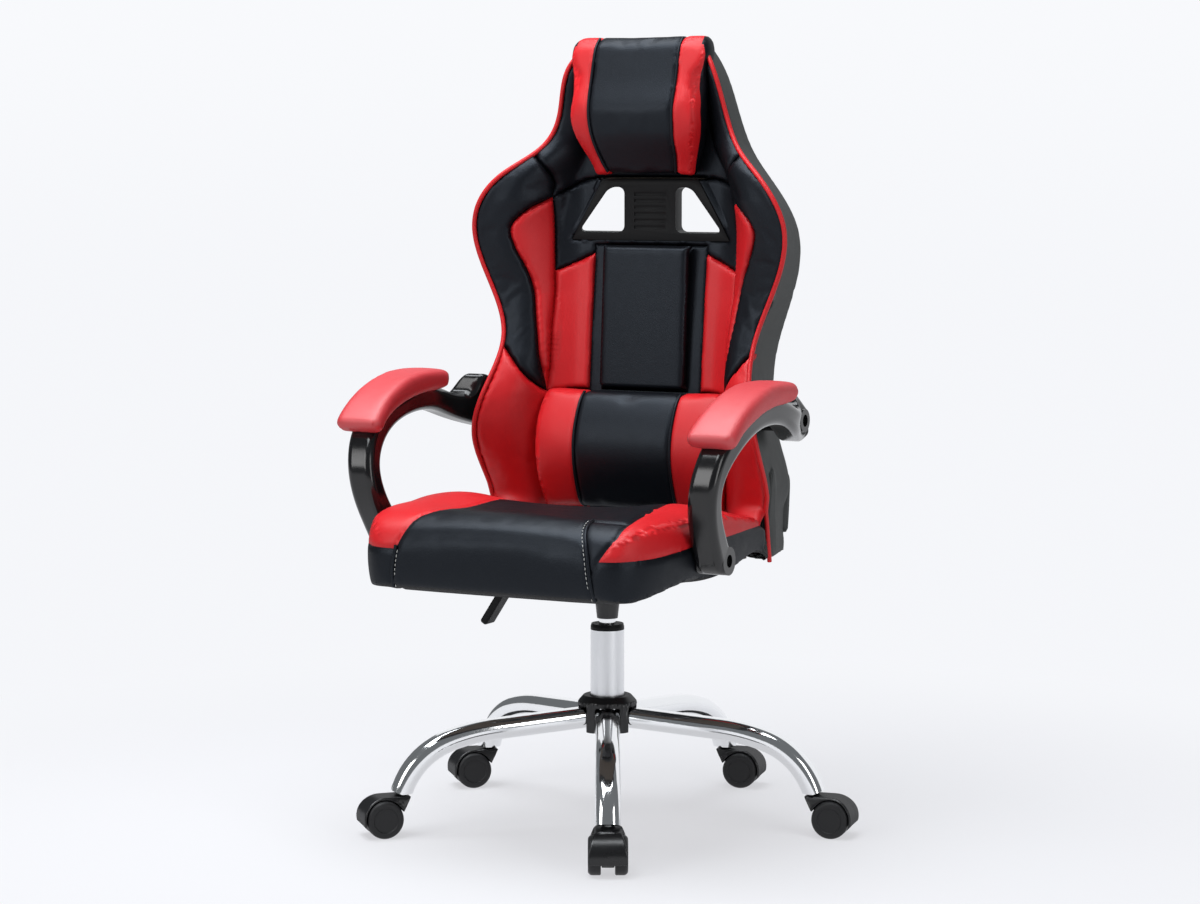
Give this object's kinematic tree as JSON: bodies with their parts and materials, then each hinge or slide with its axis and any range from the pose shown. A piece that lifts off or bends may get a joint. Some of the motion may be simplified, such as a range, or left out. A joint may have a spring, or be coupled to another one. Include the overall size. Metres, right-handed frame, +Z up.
{
  "type": "racing gaming chair",
  "caption": "Racing style swivel chair with bucket seat, winged back with neck windows, sewn head and lumbar pads, fixed padded arms, gas column and five-leg caster base.",
  "frame": {"origin": "on the floor, under the axis of the column", "axes": "+Z up along the column, the chair faces -Y, +X is the sitter's left"},
  "size_m": [0.7227, 0.7096, 1.166],
  "materials": {
    "chrome": "polished",
    "satin_steel": "satin",
    "zinc_steel": "satin",
    "black_metal": "satin",
    "black_plastic": "satin",
    "gloss_black_plastic": "gloss",
    "wheel_plastic": "matte",
    "red_leather": "satin",
    "black_leather": "satin",
    "grey_leather": "satin",
    "plywood": "matte"
  },
  "bodies": {
    "base": {"base_hub": "chrome", "hub_cover": "black_plastic", "standing_tube": "satin_steel", "guide_bush": "black_plastic", "thrust_bearing": "zinc_steel", "base_leg_1": "chrome", "base_leg_2": "chrome", "base_leg_3": "chrome", "base_leg_4": "chrome", "base_leg_5": "chrome"},
    "piston": {"piston_rod": "zinc_steel", "retaining_clip": "zinc_steel"},
    "column": {"gas_cylinder": "chrome", "tilt_housing": "black_metal", "tilt_pin": "zinc_steel", "tilt_springs": "zinc_steel"},
    "release": {"release_button": "zinc_steel"},
    "lever_rocker": {"lever_bush": "black_plastic"},
    "lever": {"lever_rod": "black_metal", "lever_grip": "black_plastic"},
    "seat": {"seat_plate": "black_metal", "plate_bolts": "zinc_steel", "seat_frame": "plywood", "seat_cushion": "black_leather", "back_cushion": "black_leather", "back_cover": "grey_leather", "back_frame": "plywood", "window_bezel": "black_plastic", "lumbar_pad": "black_leather", "headrest_pad": "black_leather", "centre_panel": "black_leather", "arm_left": "gloss_black_plastic", "arm_right": "gloss_black_plastic", "arm_pad_left": "red_leather", "arm_pad_right": "red_leather", "arm_bolts": "zinc_steel"},
    "caster_1": {"caster_1_hood": "black_plastic", "caster_1_pins": "zinc_steel"},
    "caster_1_left": {"caster_1_wheel_left": "wheel_plastic"},
    "caster_1_right": {"caster_1_wheel_right": "wheel_plastic"},
    "caster_2": {"caster_2_hood": "black_plastic", "caster_2_pins": "zinc_steel"},
    "caster_2_left": {"caster_2_wheel_left": "wheel_plastic"},
    "caster_2_right": {"caster_2_wheel_right": "wheel_plastic"},
    "caster_3": {"caster_3_hood": "black_plastic", "caster_3_pins": "zinc_steel"},
    "caster_3_left": {"caster_3_wheel_left": "wheel_plastic"},
    "caster_3_right": {"caster_3_wheel_right": "wheel_plastic"},
    "caster_4": {"caster_4_hood": "black_plastic", "caster_4_pins": "zinc_steel"},
    "caster_4_left": {"caster_4_wheel_left": "wheel_plastic"},
    "caster_4_right": {"caster_4_wheel_right": "wheel_plastic"},
    "caster_5": {"caster_5_hood": "black_plastic", "caster_5_pins": "zinc_steel"},
    "caster_5_left": {"caster_5_wheel_left": "wheel_plastic"},
    "caster_5_right": {"caster_5_wheel_right": "wheel_plastic"}
  },
  "joints": [
    {"name": "seat_swivel", "type": "hinge", "parent": "base", "child": "piston", "pos_m": [0, 0, 0.25], "axis": [0, 0, 1], "continuous": true},
    {"name": "column_lift", "type": "slide", "parent": "piston", "child": "column", "axis": [0, 0, 1], "range_m": [0, 0.085]},
    {"name": "seat_tilt", "type": "hinge", "parent": "column", "child": "seat", "pos_m": [0, -0.075, 0.37503], "axis": [-1, 0, 0], "range_deg": [0, 15], "stiffness_Nm_per_rad": 260, "springref_deg": -17.19, "deforming": ["tilt_springs"]},
    {"name": "lever_lift", "type": "hinge", "parent": "column", "child": "lever_rocker", "pos_m": [-0.03, 0, 0.35803], "axis": [0, 1, 0], "range_deg": [0, 8], "stiffness_Nm_per_rad": 6, "springref_deg": -5.73},
    {"name": "lever_pull", "type": "slide", "parent": "lever_rocker", "child": "lever", "axis": [-1, 0, 0], "range_m": [0, 0.018]},
    {"name": "button_press", "type": "slide", "parent": "column", "child": "release", "axis": [0, 0, -1], "range_m": [0, 0.0047], "stiffness_N_per_m": 800},
    {"name": "caster_1_swivel", "type": "hinge", "parent": "base", "child": "caster_1", "pos_m": [0.14391, -0.28245, 0.06], "axis": [0, 0, 1], "continuous": true},
    {"name": "caster_1_left_roll", "type": "hinge", "parent": "caster_1", "child": "caster_1_left", "pos_m": [0.15708, -0.30829, 0.0275], "axis": [-0.891, -0.454, 0], "continuous": true},
    {"name": "caster_1_right_roll", "type": "hinge", "parent": "caster_1", "child": "caster_1_right", "pos_m": [0.15708, -0.30829, 0.0275], "axis": [-0.891, -0.454, 0], "continuous": true},
    {"name": "caster_2_swivel", "type": "hinge", "parent": "base", "child": "caster_2", "pos_m": [0.3131, 0.04959, 0.06], "axis": [0, 0, 1], "continuous": true},
    {"name": "caster_2_left_roll", "type": "hinge", "parent": "caster_2", "child": "caster_2_left", "pos_m": [0.34174, 0.05413, 0.0275], "axis": [0.1564, -0.9877, 0], "continuous": true},
    {"name": "caster_2_right_roll", "type": "hinge", "parent": "caster_2", "child": "caster_2_right", "pos_m": [0.34174, 0.05413, 0.0275], "axis": [0.1564, -0.9877, 0], "continuous": true},
    {"name": "caster_3_swivel", "type": "hinge", "parent": "base", "child": "caster_3", "pos_m": [0.04959, 0.3131, 0.06], "axis": [0, 0, 1], "continuous": true},
    {"name": "caster_3_left_roll", "type": "hinge", "parent": "caster_3", "child": "caster_3_left", "pos_m": [0.07806, 0.31863, 0.0275], "axis": [0.1908, -0.9816, 0], "continuous": true},
    {"name": "caster_3_right_roll", "type": "hinge", "parent": "caster_3", "child": "caster_3_right", "pos_m": [0.07806, 0.31863, 0.0275], "axis": [0.1908, -0.9816, 0], "continuous": true},
    {"name": "caster_4_swivel", "type": "hinge", "parent": "base", "child": "caster_4", "pos_m": [-0.28245, 0.14391, 0.06], "axis": [0, 0, 1], "continuous": true},
    {"name": "caster_4_left_roll", "type": "hinge", "parent": "caster_4", "child": "caster_4_left", "pos_m": [-0.30366, 0.12414, 0.0275], "axis": [-0.682, 0.7314, 0], "continuous": true},
    {"name": "caster_4_right_roll", "type": "hinge", "parent": "caster_4", "child": "caster_4_right", "pos_m": [-0.30366, 0.12414, 0.0275], "axis": [-0.682, 0.7314, 0], "continuous": true},
    {"name": "caster_5_swivel", "type": "hinge", "parent": "base", "child": "caster_5", "pos_m": [-0.22415, -0.22415, 0.06], "axis": [0, 0, 1], "continuous": true},
    {"name": "caster_5_left_roll", "type": "hinge", "parent": "caster_5", "child": "caster_5_left", "pos_m": [-0.24466, -0.24466, 0.0275], "axis": [-0.7071, 0.7071, 0], "continuous": true},
    {"name": "caster_5_right_roll", "type": "hinge", "parent": "caster_5", "child": "caster_5_right", "pos_m": [-0.24466, -0.24466, 0.0275], "axis": [-0.7071, 0.7071, 0], "continuous": true}
  ],
  "couplings": [
    {"joint": "button_press", "follows": "lever_lift", "m_per_rad": 0.033}
  ]
}
